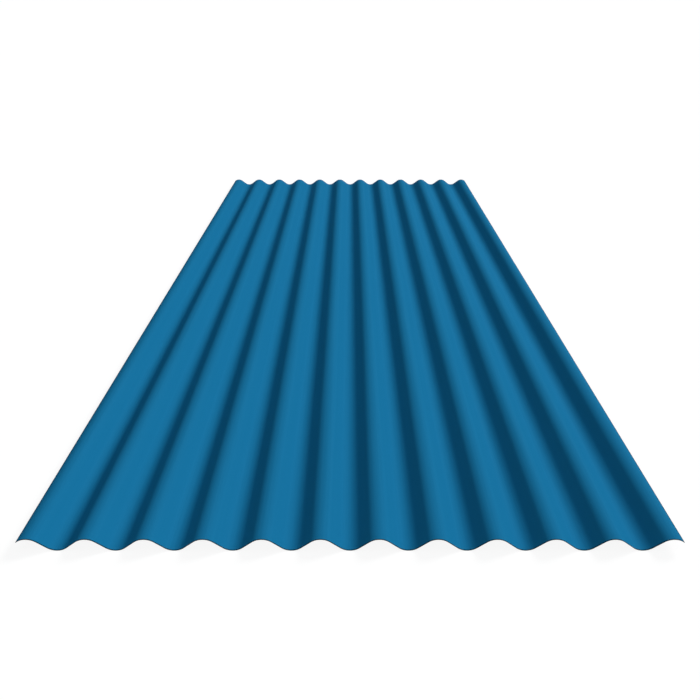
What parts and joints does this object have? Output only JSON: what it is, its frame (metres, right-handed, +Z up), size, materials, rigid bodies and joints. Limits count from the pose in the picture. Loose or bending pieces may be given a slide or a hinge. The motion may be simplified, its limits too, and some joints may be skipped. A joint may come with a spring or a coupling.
{
  "type": "corrugated metal sheet",
  "caption": "Roofing and cladding sheet of blue painted steel, roll formed into even round waves that run its full length, for laying side by side with lapped edges.",
  "frame": {"origin": "under the middle of the sheet, on the level that its troughs lie on", "axes": "+Y along the waves, towards the far end; +X across the waves, to the right; +Z up, through the thickness"},
  "size_m": [0.8662, 2, 0.0185],
  "materials": {
    "blue_paint": "matt"
  },
  "bodies": {
    "root": {"corrugated_sheet": "blue_paint"}
  },
  "joints": []
}
